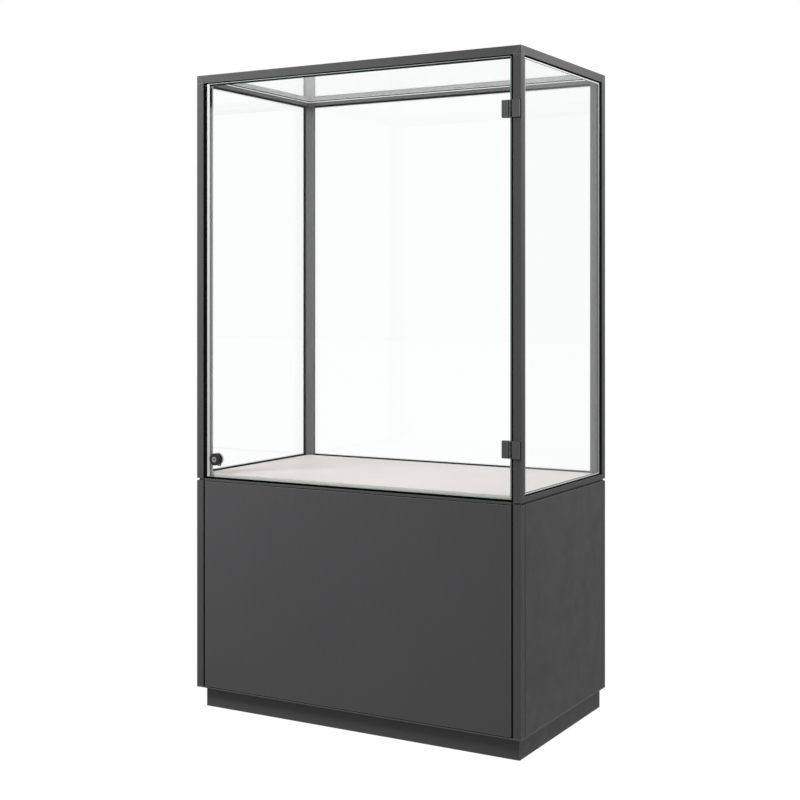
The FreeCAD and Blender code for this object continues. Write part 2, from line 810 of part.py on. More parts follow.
def lower_rails(pockets, holes):
    height = ("frame_bottom", "lower_rail_top")
    flange_height = ("frame_bottom", "deck_bottom")
    flange = ("frame_size / 2", "frame_size + flange_width")
    length = deep("frame_size", "frame_size")
    rear_flange = wide("frame_size + flange_width + deck_clearance")
    members = {
        side: ("y", across("0", "frame_size"), length, across(*flange), length)
        for side, across in SIDES.items()
    }
    members["rear"] = ("x", wide("frame_size"), rear("0", "frame_size"), rear_flange, rear(*flange))
    for name, (axis, x_span, y_span, flange_x, flange_y) in members.items():
        label = f"lower_{name}_rail"
        blank = box(label + "_blank", x_span, y_span, height)
        bar = rounded(label + "_bar", blank, "edge_round", axis)
        ledge = box(label + "_flange", flange_x, flange_y, flange_height)
        angle = fuse(label + "_angle", [bar, ledge])
        pocket = pockets["back" if name == "rear" else name]
        node(label, cut(label, angle, [pocket] + holes[name]))
    sill_y = front("sill_setback", "sill_depth")
    blank = box("front_sill_blank", wide("frame_size"), sill_y, ("frame_bottom", "sill_top"))
    node("front_sill", rounded("front_sill", blank, "edge_round", "x"))


def display_deck():
    edge = "frame_size + deck_clearance"
    y_span = deep("sill_depth + deck_clearance", edge)
    blank = box("display_deck_blank", wide(edge), y_span, ("deck_bottom", "deck_top"))
    node("display_deck", rounded("display_deck", blank, "deck_round"))


# Glass door

HINGES = {
    "upper": "door_top - hinge_from_top",
    "lower": "door_bottom + hinge_from_bottom",
}


def hinges():
    """Two glass door hinges; returns the bores that the door glass needs for them."""
    at_axis = ("hinge_x", "hinge_y")
    y_span = ("front_face - hinge_block", "front_face")
    back_span = ("door_back", "door_back + clamp_back")
    head_span = ("door_back + clamp_back - clamp_screw_head", "door_back + clamp_back")
    bite = "front_face - clamp_screw_bite"
    clamp_x = ("clamp_right - clamp_width", "clamp_right")
    leaf_x = right("frame_size - leaf_width", "frame_size")
    web_y = ("front_face - web_inset - web_thickness", "front_face - web_inset")
    leaves, clamps, pins, backs, screws, glass_holes = [], [], [], [], [], []
    for name, middle in HINGES.items():
        tag = f"{name}_hinge"
        z_span = about(middle, "hinge_height")
        third = f"({middle}) - hinge_height / 6", f"({middle}) + hinge_height / 6"
        inner_span = (f"{third[0]} + knuckle_gap / 2", f"{third[1]} - knuckle_gap / 2")
        outer_spans = {
            "low": (z_span[0], f"{third[0]} - knuckle_gap / 2"),
            "high": (f"{third[1]} + knuckle_gap / 2", z_span[1]),
        }
        pin_span = (f"{z_span[0]} - overrun", f"{z_span[1]} + overrun")
        pin_hole = rod(f"{tag}_pin_hole", "z", at_axis, pin_span, "hinge_pin_radius + slip_fit")
        pins.append(rod(f"{tag}_pin", "z", at_axis, z_span, "hinge_pin_radius"))
        leaf_pieces = [rounded(f"{tag}_leaf_block", box(f"{tag}_leaf_blank", leaf_x, y_span, z_span),
                               "hinge_round", "y")]
        for level, span in outer_spans.items():
            leaf_pieces.append(rod(f"{tag}_{level}_knuckle", "z", at_axis, span, "knuckle_radius"))
            web_x = ("hinge_x", f"{leaf_x[0]} + hinge_round")
            leaf_pieces.append(box(f"{tag}_{level}_web", web_x, web_y, span))
        leaf = fuse(f"{tag}_leaf_whole", leaf_pieces)
        leaves.append(cut(f"{tag}_leaf", leaf, [pin_hole]))
        holes, recesses = [], []
        for sign in "+-":
            centre = ("clamp_screw_x", f"{middle} {sign} clamp_screw_spread")
            part = f"{tag}_screw_{'high' if sign == '+' else 'low'}"
            hole_span = (bite, head_span[1])
            holes.append(rod(f"{part}_hole", "y", centre, hole_span, "clamp_screw_radius + slip_fit"))
            recess_span = (head_span[0], f"{head_span[1]} + overrun")
            recess_radius = "clamp_screw_head_radius + slip_fit"
            recesses.append(rod(f"{part}_recess", "y", centre, recess_span, recess_radius))
            glass_span = ("front_face - overrun", "door_back + overrun")
            glass_holes.append(rod(f"{part}_glass_hole", "y", centre, glass_span, "clamp_hole_radius"))
            spans = head_span, (f"{bite} + seat_gap", head_span[1])
            screws.append(screw(part, "y", centre, spans, "clamp_screw", "high"))
        clamp_blank = box(f"{tag}_clamp_blank", clamp_x, y_span, z_span)
        clamp = fuse(f"{tag}_clamp_whole", [
            rounded(f"{tag}_clamp_block", clamp_blank, "hinge_round", "y"),
            rod(f"{tag}_mid_knuckle", "z", at_axis, inner_span, "knuckle_radius"),
            box(f"{tag}_mid_web", ("clamp_right - hinge_round", "hinge_x"), web_y, inner_span),
        ])
        clamps.append(cut(f"{tag}_clamp", clamp, [pin_hole] + holes))
        back_blank = box(f"{tag}_back_blank", clamp_x, back_span, z_span)
        back = rounded(f"{tag}_back_block", back_blank, "hinge_round", "y")
        backs.append(cut(f"{tag}_back", back, holes + recesses))
    node("hinge_leaves", group("hinge_leaves", leaves))
    node("hinge_clamps", group("hinge_clamps", clamps))
    node("hinge_back_plates", group("hinge_back_plates", backs))
    node("hinge_pins", group("hinge_pins", pins))
    node("hinge_clamp_screws", group("hinge_clamp_screws", screws))
    return glass_holes


def door_glass(hinge_holes):
    height = ("door_bottom", "door_top")
    blank = box("door_glass_blank", ("door_left", "door_right"), front("0", "door_glass"), height)
    slab = rounded("door_glass_slab", blank, "door_arris")
    lock_span = ("front_face - overrun", "door_back + overrun")
    lock_hole = rod("door_lock_hole", "y", ("lock_x", "lock_z"), lock_span, "lock_hole_radius")
    node("door_glass", cut("door_glass", slab, hinge_holes + [lock_hole]))


def door_seal():
    depth = "door_glass + 2 * seal_wall"
    front_tip, rear_tip = "seal_wall + seal_front_leg", "seal_wall + seal_rear_leg"
    points = [
        ("0", "0"),
        (front_tip, "0"),
        (front_tip, "seal_wall"),
        ("seal_wall", "seal_wall"),
        ("seal_wall", "seal_wall + door_glass"),
        (rear_tip, "seal_wall + door_glass"),
        (rear_tip, depth),
        ("0", depth),
    ]
    place = ("door_left - seal_wall", "front_face - seal_wall", "door_bottom")
    node("door_edge_seal", profile("door_edge_seal", points, "door_top - door_bottom", *place))


STOP_SCREW_SHARES = (0, 1 / 3, 2 / 3, 1)


def door_stop():
    """The stop angle behind the closing edge, with its screws; returns the bores in the post."""
    points = [
        ("0", "0"),
        ("stop_width", "0"),
        ("stop_width", "stop_thickness"),
        ("stop_thickness", "stop_thickness"),
        ("stop_thickness", "stop_depth"),
        ("0", "stop_depth"),
    ]
    angle = profile("stop_angle", points, "stop_top - stop_bottom", "stop_left", "stop_front", "stop_bottom")
    bite = "stop_left + stop_thickness - stop_screw_length"
    seat = "stop_left + stop_thickness"
    screws, holes = [], []
    for number, share in enumerate(STOP_SCREW_SHARES, start=1):
        centre = ("stop_screw_y", f"stop_screw_low + {share} * stop_screw_run")
        spans = (seat, f"{seat} + stop_screw_head"), (f"{bite} + seat_gap", seat)
        screws.append(screw(f"stop_screw_{number}", "x", centre, spans, "stop_screw", "high"))
        holes.append(rod(f"stop_hole_{number}", "x", centre, (bite, seat), "stop_screw_radius + slip_fit"))
    node("door_stop_strip", cut("door_stop_strip", angle, holes))
    node("door_stop_screws", group("door_stop_screws", screws))
    return holes


def door_dust_seals():
    """Dark strips on the posts and the top rail that close the gaps round the door."""
    y_span = ("dust_front", "dust_back")
    z_span = ("sill_top", "dust_level - seat_gap")
    left_x = ("stop_left", "stop_left + dust_strip_width")
    left_y = ("front_face + dust_strip_setback", "stop_front - seat_gap")
    right_x = ("door_right - dust_side_overlap", "half_width - frame_size")
    top_left, top_right = wide("frame_size")
    beside_seal = "door_left + seal_rear_leg + seat_gap"
    top = [
        box("dust_seal_above", (top_left, beside_seal), y_span, ("door_top + seat_gap", "post_top")),
        box("dust_seal_behind", (beside_seal, top_right), y_span, ("dust_level", "post_top")),
    ]
    strips = [
        box("dust_seal_left", left_x, left_y, z_span),
        box("dust_seal_right", right_x, y_span, z_span),
        fuse("dust_seal_top", top),
    ]
    node("door_dust_seals", group("door_dust_seals", strips))


def door_catch():
    height = ("catch_bottom", "door_top")
    x_span = ("stop_left", "stop_left + stop_width")
    blank = box("door_catch_blank", x_span, ("stop_front", "stop_front + catch_depth"), height)
    node("door_catch", rounded("door_catch", blank, "edge_round", "z"))
    plate_left = "door_left + seal_rear_leg + seat_gap"
    plate_x = (plate_left, f"{plate_left} + catch_plate_width")
    plate_z = about("(catch_bottom + door_top) / 2", "catch_plate_height")
    plate = box("door_catch_plate", plate_x, ("door_back", "door_back + catch_plate_thickness"), plate_z)
    node("door_catch_plate", plate)


def door_lock():
    place = ("y", "lock_x", "lock_front", "lock_z")
    seat = "lock_proud - lock_washer"
    housing = [
        ("lock_bore", "lock_ring_depth"),
        ("lock_ring_radius", "lock_ring_depth"),
        ("lock_ring_radius", "0"),
        ("lock_flange_radius - lock_flange_chamfer", "0"),
        ("lock_flange_radius", "lock_flange_chamfer"),
        ("lock_flange_radius", seat),
        ("lock_body_radius", seat),
        ("lock_body_radius", "lock_length"),
        ("lock_bore", "lock_length"),
    ]
    node("lock_housing", turned("lock_housing", housing, *place))
    nut_bore = "lock_body_radius + slip_fit"
    nut = [
        (nut_bore, "0"),
        ("lock_back_nut_radius", "0"),
        ("lock_back_nut_radius", "lock_nut_thickness - lock_nut_chamfer"),
        ("lock_back_nut_radius - lock_nut_chamfer", "lock_nut_thickness"),
        (nut_bore, "lock_nut_thickness"),
    ]
    node("lock_nut", turned("lock_nut", nut, "y", "lock_x", "door_back + lock_washer", "lock_z"))
    at_lock = ("lock_x", "lock_z")
    washers = []
    spans = {
        "front": ("front_face - lock_washer", "front_face"),
        "rear": ("door_back", "door_back + lock_washer"),
    }
    for name, span in spans.items():
        disc = rod(f"lock_{name}_disc", "y", at_lock, span, "lock_washer_radius")
        hole = rod(f"lock_{name}_disc_hole", "y", at_lock, span, nut_bore)
        washers.append(cut(f"lock_{name}_washer", disc, [hole]))
    node("lock_washers", group("lock_washers", washers))


def lock_core():
    at_lock = ("lock_x", "lock_z")
    face = "lock_front + plug_recess"
    barrel = rod("lock_plug_barrel", "y", at_lock, (face, "lock_back"), "plug_radius")
    square_x, square_z = about("lock_x", "plug_square"), about("lock_z", "plug_square")
    shank = box("lock_plug_shank", square_x, (face + " + key_slot_depth", "cam_back"), square_z)
    slot_span = (face + " - overrun", face + " + key_slot_depth")
    slot_x, slot_z = about("lock_x", "key_slot_width"), about("lock_z", "key_slot_height")
    slot = box("lock_key_slot", slot_x, slot_span, slot_z)
    thread_span = ("cam_back - cam_screw_length", "cam_back + overrun")
    thread = rod("lock_plug_thread", "y", at_lock, thread_span, "cam_screw_radius + slip_fit")
    plug = fuse("lock_plug_whole", [barrel, shank])
    node("lock_plug", cut("lock_plug", plug, [slot, thread]))
    y_span = ("cam_front", "cam_back")
    arm = box("lock_cam_arm", about("lock_x", "cam_width"), y_span, ("lock_z - cam_reach", "lock_z"))
    arm_round = rounded("lock_cam_blade", arm, "cam_width / 4", "y")
    eye = rod("lock_cam_eye", "y", at_lock, y_span, "cam_width / 2")
    loose = "plug_square + 2 * slip_fit"
    hole = box("lock_cam_hole", about("lock_x", loose), y_span, about("lock_z", loose))
    cam = fuse("lock_cam_whole", [arm_round, eye])
    node("lock_cam", cut("lock_cam", cam, [hole]))
    bite_span = ("cam_back - cam_screw_length + seat_gap", "cam_back")
    spans = ("cam_back", "cam_back + cam_screw_head"), bite_span
    node("lock_cam_screw", screw("lock_cam_screw", "y", at_lock, spans, "cam_screw", "high"))


def build():
    fill_sheets()
    plinth_boards()
    levelling_feet()
    screw_holes = panel_screw_holes()
    base_posts(screw_holes)
    base_panels(screw_holes)
    bolt_holes = case_bolts()
    base_plates([hole for holes in bolt_holes.values() for hole in holes])
    base_door()
    push_latch()
    pockets = panes_and_gaskets()
    mitres = mitre_blocks()
    top_rails(pockets, mitres)
    corner_connectors(pockets, mitres)
    posts(pockets, door_stop())
    lower_rails(pockets, bolt_holes)
    display_deck()
    door_glass(hinges())
    door_seal()
    door_dust_seals()
    door_catch()
    door_lock()
    lock_core()
    doc.recompute()


def check():
    for item in doc.Objects:
        faults = [word for word in item.State if word in ("Invalid", "Error")]
        if faults:
            raise RuntimeError(f"{item.Name}: {faults}")
    for item in nodes:
        if item.Shape.isNull() or not item.Shape.isValid() or not item.Shape.Solids:
            raise RuntimeError(f"{item.Label}: bad shape")


def write():
    os.makedirs("parts", exist_ok=True)
    for item in nodes:
        item.Shape.exportStep(f"parts/{item.Label}.step")
    print(len(nodes), "sub-parts")


build()
check()
write()
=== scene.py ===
import json
import math

import bmesh
import bpy
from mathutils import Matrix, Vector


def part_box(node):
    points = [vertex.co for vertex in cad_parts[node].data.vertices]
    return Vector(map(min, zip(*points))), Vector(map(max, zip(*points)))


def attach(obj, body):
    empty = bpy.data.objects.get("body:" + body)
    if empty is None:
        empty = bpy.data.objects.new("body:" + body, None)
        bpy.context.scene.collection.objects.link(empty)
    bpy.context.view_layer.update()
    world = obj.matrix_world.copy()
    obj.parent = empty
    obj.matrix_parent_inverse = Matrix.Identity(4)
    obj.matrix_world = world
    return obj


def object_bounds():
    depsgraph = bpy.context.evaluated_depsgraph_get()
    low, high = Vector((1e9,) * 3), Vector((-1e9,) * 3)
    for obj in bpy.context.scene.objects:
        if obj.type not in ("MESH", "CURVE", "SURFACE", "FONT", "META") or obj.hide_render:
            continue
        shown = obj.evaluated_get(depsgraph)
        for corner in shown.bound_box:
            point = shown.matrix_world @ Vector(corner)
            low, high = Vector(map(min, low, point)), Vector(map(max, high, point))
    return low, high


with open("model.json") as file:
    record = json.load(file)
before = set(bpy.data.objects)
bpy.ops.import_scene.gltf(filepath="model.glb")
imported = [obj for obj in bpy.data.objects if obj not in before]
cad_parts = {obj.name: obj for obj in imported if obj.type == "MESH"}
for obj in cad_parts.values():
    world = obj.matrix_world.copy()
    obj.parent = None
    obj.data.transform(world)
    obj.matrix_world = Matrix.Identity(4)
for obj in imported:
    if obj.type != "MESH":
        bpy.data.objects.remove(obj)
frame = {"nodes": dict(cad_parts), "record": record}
cad_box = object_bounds()
nodes = frame["nodes"]

X, Y, Z = range(3)
CORNER_SIGNS = [(-1, -1), (1, -1), (1, 1), (-1, 1)]
WHITE = (1.0, 1.0, 1.0, 1.0)

# Camera

PHOTO_PIXELS = 800
FOCAL_PIXELS = 1411.6
HORIZON_PIXEL = 298.7
SENSOR_MM = 36.0
CAMERA_PLACE = (1.9585, -3.4404, 1.1493)
CAMERA_LEVEL_DEG = 90
CAMERA_YAW_DEG = 29.65
CAMERA_REACH = 60.0


def add_camera():
    data = bpy.data.cameras.new("photo_camera")
    data.sensor_width = SENSOR_MM
    data.lens = FOCAL_PIXELS / PHOTO_PIXELS * SENSOR_MM
    data.shift_y = (HORIZON_PIXEL - PHOTO_PIXELS / 2) / PHOTO_PIXELS
    data.clip_end = CAMERA_REACH
    camera = bpy.data.objects.new("photo_camera", data)
    camera.location = CAMERA_PLACE
    camera.rotation_euler = (math.radians(CAMERA_LEVEL_DEG), 0, math.radians(CAMERA_YAW_DEG))
    bpy.context.scene.collection.objects.link(camera)
    bpy.context.scene.camera = camera


# Material building blocks

SHADING_SAMPLES = 4
NOISE_RANGE = (0.3, 0.7)
EDGE_RANGE = (0.85, 0.998)
SHADE_MASK_RANGE = (0.35, 0.75)
MIX_COLOUR_INPUTS = (6, 7)
MIX_COLOUR_OUTPUT = 2


class Nodes:
    """A fresh node material with a Principled shader, and short calls to add to it."""

    def __init__(self, name):
        self.material = bpy.data.materials.new(name)
        self.material.use_nodes = True
        self.tree = self.material.node_tree
        self.tree.nodes.clear()
        self.output = self.tree.nodes.new("ShaderNodeOutputMaterial")
        self.shader = self.tree.nodes.new("ShaderNodeBsdfPrincipled")
        self.link(self.shader.outputs[0], self.output.inputs["Surface"])
        self.place = self.tree.nodes.new("ShaderNodeTexCoord").outputs["Object"]

    def link(self, source, target):
        self.tree.links.new(source, target)

    def set(self, **values):
        for name, value in values.items():
            self.shader.inputs[name.replace("_", " ")].default_value = value

    def stretched(self, scale):
        mapping = self.tree.nodes.new("ShaderNodeMapping")
        mapping.inputs["Scale"].default_value = scale
        self.link(self.place, mapping.inputs["Vector"])
        return mapping.outputs[0]

    def noise(self, scale, detail=2.0, roughness=0.5, place=None):
        node = self.tree.nodes.new("ShaderNodeTexNoise")
        node.inputs["Scale"].default_value = scale
        node.inputs["Detail"].default_value = detail
        node.inputs["Roughness"].default_value = roughness
        self.link(place or self.place, node.inputs["Vector"])
        return node.outputs["Fac"]

    def span(self, source, low=0.0, high=1.0, within=NOISE_RANGE):
        """The source's values within a range, spread from low to high."""
        node = self.tree.nodes.new("ShaderNodeMapRange")
        self.link(source, node.inputs["Value"])
        node.inputs["From Min"].default_value = within[0]
        node.inputs["From Max"].default_value = within[1]
        node.inputs["To Min"].default_value = low
        node.inputs["To Max"].default_value = high
        return node.outputs[0]

    def blend(self, factor, first, second):
        node = self.tree.nodes.new("ShaderNodeMix")
        node.data_type = "RGBA"
        self.link(factor, node.inputs["Factor"])
        for index, colour in zip(MIX_COLOUR_INPUTS, (first, second)):
            if isinstance(colour, tuple):
                node.inputs[index].default_value = (*colour, 1.0)
            else:
                self.link(colour, node.inputs[index])
        return node.outputs[MIX_COLOUR_OUTPUT]

    def edges(self, radius, gain=1.0):
        """A painted-highlight mask: up to the gain on sharp edges and 0 on flat faces."""
        bevel = self.tree.nodes.new("ShaderNodeBevel")
        bevel.samples = SHADING_SAMPLES
        bevel.inputs["Radius"].default_value = radius
        geometry = self.tree.nodes.new("ShaderNodeNewGeometry")
        dot = self.tree.nodes.new("ShaderNodeVectorMath")
        dot.operation = "DOT_PRODUCT"
        self.link(bevel.outputs[0], dot.inputs[0])
        self.link(geometry.outputs["True Normal"], dot.inputs[1])
        return self.span(dot.outputs["Value"], low=gain, high=0.0, within=EDGE_RANGE)

    def shade_in_corners(self, reach):
        """A painted-shade mask from ambient occlusion: close to 1 in narrow corners and 0 on open faces."""
        near = self.tree.nodes.new("ShaderNodeAmbientOcclusion")
        near.samples = SHADING_SAMPLES
        near.inputs["Distance"].default_value = reach
        return self.span(near.outputs["AO"], low=1.0, high=0.0, within=SHADE_MASK_RANGE)

    def bump(self, source, depth, strength):
        node = self.tree.nodes.new("ShaderNodeBump")
        node.inputs["Distance"].default_value = depth
        node.inputs["Strength"].default_value = strength
        self.link(source, node.inputs["Height"])
        self.link(node.outputs[0], self.shader.inputs["Normal"])

    def colour(self, socket):
        self.link(socket, self.shader.inputs["Base Color"])

    def roughness(self, socket):
        self.link(socket, self.shader.inputs["Roughness"])


# Greys, from sRGB levels

TOP_LEVEL = 255
SRGB_KNEE = 0.04045
SRGB_SLOPE = 12.92
SRGB_OFFSET = 0.055
SRGB_POWER = 2.4
VIOLET_SHARES = (0.2, -0.8, 1.0)
PAINT_VIOLET = 1.0


def grey(level, violet=0.0):
    """A linear colour from an sRGB level of 0 to 255, moved by some levels towards violet."""
    channels = []
    for share in VIOLET_SHARES:
        value = (level + share * violet) / TOP_LEVEL
        if value <= SRGB_KNEE:
            channels.append(value / SRGB_SLOPE)
        else:
            channels.append(((value + SRGB_OFFSET) / (1 + SRGB_OFFSET)) ** SRGB_POWER)
    return tuple(channels)


def paint(level):
    """The grey of paint, a little on the violet side."""
    return grey(level, PAINT_VIOLET)


# Finishes

PAINT_SPECULAR = 0.15
CLOUD_LEVELS = 1.5
FLECK_LEVELS = 12
FIBRE_LEVELS = 7
BOARD_HIGHLIGHT_LEVELS = 60
# Painted shade in narrow corners: its level, and the reach of the occlusion that finds them.
PAINTED_CORNER_SHADE = 22
SHADE_REACH = 0.006
MOULDED_LEVELS = 4
METAL_DARKER = 14
METAL_LIGHTER = 8
METAL_HIGHLIGHT_LEVELS = 40
METAL_TOP_LEVEL = 250


def powder_coat(name, level, highlight_level, corner_shade_level=PAINTED_CORNER_SHADE):
    """Fine-grained paint, with a painted highlight on outer edges and painted shade, at its own level, in
    narrow corners.
    """
    m = Nodes(name)
    m.set(Specular_IOR_Level=PAINT_SPECULAR)
    cloud = m.span(m.noise(scale=3.0, detail=3.0))
    base = m.blend(cloud, paint(level - CLOUD_LEVELS), paint(level + CLOUD_LEVELS))
    speck = m.span(m.noise(scale=900.0, detail=1.0), high=0.35, within=(0.45, 0.8))
    flecked = m.blend(speck, base, paint(level + FLECK_LEVELS))
    # Painted highlight on outer edges, then painted shade in narrow corners.
    with_edge_highlight = m.blend(m.edges(radius=0.0025, gain=0.7), flecked, paint(highlight_level))
    m.colour(m.blend(m.shade_in_corners(SHADE_REACH), with_edge_highlight, grey(corner_shade_level)))
    m.roughness(m.span(m.noise(scale=60.0, detail=3.0), low=0.38, high=0.5))
    m.bump(m.noise(scale=1500.0), depth=0.00003, strength=0.5)
    return m.material


def lacquered_board(name, level):
    """Lacquer over board, with a faint upright fibre, a painted highlight on its edges and painted shade in
    narrow corners.
    """
    m = Nodes(name)
    m.set(Specular_IOR_Level=PAINT_SPECULAR)
    cloud = m.span(m.noise(scale=2.2, detail=4.0))
    base = m.blend(cloud, paint(level - CLOUD_LEVELS), paint(level + CLOUD_LEVELS))
    upright = m.stretched((1.0, 1.0, 0.12))
    threads = m.noise(scale=220.0, detail=3.0, roughness=0.6, place=upright)
    fibre = m.span(threads, high=0.3, within=(0.4, 0.75))
    lit = m.blend(fibre, base, paint(level + FIBRE_LEVELS))
    # Painted highlight on edges, then painted shade in narrow corners.
    with_edge_highlight = m.blend(m.edges(radius=0.003), lit, paint(level + BOARD_HIGHLIGHT_LEVELS))
    m.colour(m.blend(m.shade_in_corners(SHADE_REACH), with_edge_highlight, grey(PAINTED_CORNER_SHADE)))
    m.roughness(m.span(m.noise(scale=25.0, detail=4.0), low=0.42, high=0.55))
    m.bump(m.noise(scale=1100.0, detail=3.0), depth=0.00003, strength=0.4)
    return m.material


def clear_glass(name, tint, density, index):
    """Glass that lets lamp light through, with its tint along long paths."""
    m = Nodes(name)
    m.set(Base_Color=WHITE, Roughness=0.0, IOR=index, Transmission_Weight=1.0, Specular_IOR_Level=0.5)
    open_way = m.tree.nodes.new("ShaderNodeBsdfTransparent")
    path = m.tree.nodes.new("ShaderNodeLightPath")
    mix = m.tree.nodes.new("ShaderNodeMixShader")
    m.link(path.outputs["Is Shadow Ray"], mix.inputs[0])
    m.link(m.shader.outputs[0], mix.inputs[1])
    m.link(open_way.outputs[0], mix.inputs[2])
    m.link(mix.outputs[0], m.output.inputs["Surface"])
    volume = m.tree.nodes.new("ShaderNodeVolumeAbsorption")
    volume.inputs["Color"].default_value = (*tint, 1.0)
    volume.inputs["Density"].default_value = density
    m.link(volume.outputs[0], m.output.inputs["Volume"])
    return m.material


def ground_glass(name, dark, light, glow=0.0):
    """A ground edge of glass, whose emission is a painted glow for the light that the pane carries to it.
    """
    m = Nodes(name)
    m.set(Specular_IOR_Level=0.5, Emission_Color=(*light, 1.0), Emission_Strength=glow)
    m.colour(m.blend(m.span(m.noise(scale=140.0, detail=4.0, roughness=0.6)), dark, light))
    m.roughness(m.span(m.noise(scale=600.0), low=0.2, high=0.35))
    m.bump(m.noise(scale=2500.0), depth=0.00001, strength=0.5)
    return m.material


def sealant_with_painted_glow(name):
    """White silicone with a painted glow: emission for the light that the pane carries to its edge."""
    dark = (0.78, 0.83, 0.82)
    light = (0.86, 0.90, 0.89)
    m = Nodes(name)
    m.set(Specular_IOR_Level=0.3, Emission_Color=(0.86, 0.95, 0.93, 1.0), Emission_Strength=0.3)
    m.colour(m.blend(m.span(m.noise(scale=90.0, detail=3.0)), dark, light))
    m.roughness(m.span(m.noise(scale=300.0), low=0.3, high=0.45))
    m.bump(m.noise(scale=900.0), depth=0.00002, strength=0.5)
    return m.material


def pale_laminate(name):
    dark = (0.62, 0.57, 0.555)
    light = (0.67, 0.62, 0.605)
    spots = (0.72, 0.675, 0.66)
    m = Nodes(name)
    m.set(Specular_IOR_Level=0.35)
    base = m.blend(m.span(m.noise(scale=5.0, detail=5.0, roughness=0.6)), dark, light)
    mottle = m.noise(scale=260.0, detail=4.0, roughness=0.65)
    m.colour(m.blend(m.span(mottle, high=0.5, within=(0.4, 0.75)), base, spots))
    m.roughness(m.span(m.noise(scale=80.0, detail=3.0), low=0.5, high=0.65))
    m.bump(m.noise(scale=700.0, detail=3.0), depth=0.00005, strength=0.4)
    return m.material


def sawn_timber(name):
    dark = (0.23, 0.14, 0.075)
    light = (0.42, 0.29, 0.17)
    m = Nodes(name)
    m.set(Specular_IOR_Level=0.3)
    grain = m.noise(scale=90.0, detail=5.0, roughness=0.6, place=m.stretched((0.15, 1.0, 1.0)))
    m.colour(m.blend(m.span(grain), dark, light))
    m.roughness(m.span(grain, low=0.6, high=0.8))
    m.bump(grain, depth=0.0003, strength=0.6)
    return m.material


def rubber(name, dark_level, light_level):
    m = Nodes(name)
    m.set(Specular_IOR_Level=0.05)
    m.colour(m.blend(m.span(m.noise(scale=300.0, detail=3.0)), grey(dark_level), grey(light_level)))
    m.roughness(m.span(m.noise(scale=500.0), low=0.6, high=0.78))
    m.bump(m.noise(scale=1200.0), depth=0.00005, strength=0.5)
    return m.material


def pale_extrusion(name):
    dark = (0.74, 0.80, 0.78)
    light = (0.82, 0.88, 0.86)
    m = Nodes(name)
    m.set(Specular_IOR_Level=0.5)
    draw = m.noise(scale=500.0, detail=3.0, place=m.stretched((1.0, 1.0, 0.004)))
    m.colour(m.blend(m.span(draw), dark, light))
    m.roughness(m.span(m.noise(scale=60.0), low=0.25, high=0.38))
    m.bump(draw, depth=0.00004, strength=0.5)
    return m.material


def moulded(name, level):
    m = Nodes(name)
    m.set(Specular_IOR_Level=0.4)
    cloud = m.span(m.noise(scale=200.0, detail=3.0))
    m.colour(m.blend(cloud, grey(level - MOULDED_LEVELS), grey(level + MOULDED_LEVELS)))
    m.roughness(m.span(m.noise(scale=400.0), low=0.45, high=0.6))
    m.bump(m.noise(scale=1600.0), depth=0.00004, strength=0.5)
    return m.material


def drawn_metal(name, level, along, smooth, rough):
    """Bright metal with fine lines along the direction that is stretched, and a painted highlight on its
    edges.
    """
    m = Nodes(name)
    m.set(Metallic=1.0)
    lines = m.noise(scale=900.0, detail=3.0, roughness=0.6, place=m.stretched(along))
    bright = m.blend(m.span(lines), grey(level - METAL_DARKER), grey(level + METAL_LIGHTER))
    # Painted highlight on edges.
    highlight_level = min(level + METAL_HIGHLIGHT_LEVELS, METAL_TOP_LEVEL)
    m.colour(m.blend(m.edges(radius=0.0006, gain=0.5), bright, grey(highlight_level)))
    m.roughness(m.span(lines, low=smooth, high=rough))
    m.bump(lines, depth=0.00002, strength=0.5)
    return m.material


ALONG_Z = (1.0, 1.0, 0.08)
ALONG_Y = (1.0, 0.08, 1.0)

FINISHES = {
    "frame_paint": powder_coat("frame_paint", level=99, highlight_level=160, corner_shade_level=48),
    # Painted light: the stop strip's grey, and its corner level, are lightened to make up for the shade it
    # sits in behind the door.
    "stop_grey": powder_coat("stop_grey", level=205, highlight_level=220, corner_shade_level=190),
    "panel_lacquer": lacquered_board("panel_lacquer", level=103),
    "block_wood": sawn_timber("sawn_timber"),
    "clear_glass": clear_glass("pane_glass", tint=(0.55, 0.80, 0.70), density=4.0, index=1.25),
    "deck_board": pale_laminate("pale_laminate"),
    "gasket_rubber": rubber("glazing_rubber", dark_level=10, light_level=18),
    "seal_plastic": pale_extrusion("pale_extrusion"),
    "hinge_black": powder_coat("hinge_coat", level=108, highlight_level=175),
    "bright_steel": drawn_metal("bright_zinc", level=196, along=ALONG_Z, smooth=0.25, rough=0.42),
    "lock_satin": powder_coat("lock_coat", level=54, highlight_level=120),
    "latch_plastic": moulded("moulded_black", level=42),
}
OWN_FINISH = {
    # Painted reflection: a greyer tint and heavier absorption stand for the darker surround that the top
    # pane mirrors.
    "top_glass": clear_glass("top_pane_glass_painted_grey", tint=(0.60, 0.64, 0.62), density=10.0, index=1.5),
    # Painted light: the lock nut is painted much lighter than the hinge black to make up for the shade of
    # the lock flange.
    "lock_nut": powder_coat("nut_coat_painted_light", level=165, highlight_level=200, corner_shade_level=140),
}
# Painted light: the ground edge colours are lighter than real and glow, to make up for the shade of the gap
# they sit in.
GROUND_EDGE_PAINTED_GLOW = ground_glass("ground_edge_painted_glow", dark=(0.40, 0.62, 0.54), light=(0.46, 0.70, 0.61), glow=0.15)
# Painted glint: a pale line on the arris of the door glass.
ARRIS_PAINTED_GLINT = ground_glass("arris_painted_glint", dark=(0.55, 0.68, 0.62), light=(0.66, 0.78, 0.72))
# Painted highlight: glowing pale sealant for the bright lines at the panes' edges.
PAINTED_GLOW_SEALANT = sealant_with_painted_glow("sealant_with_painted_glow")
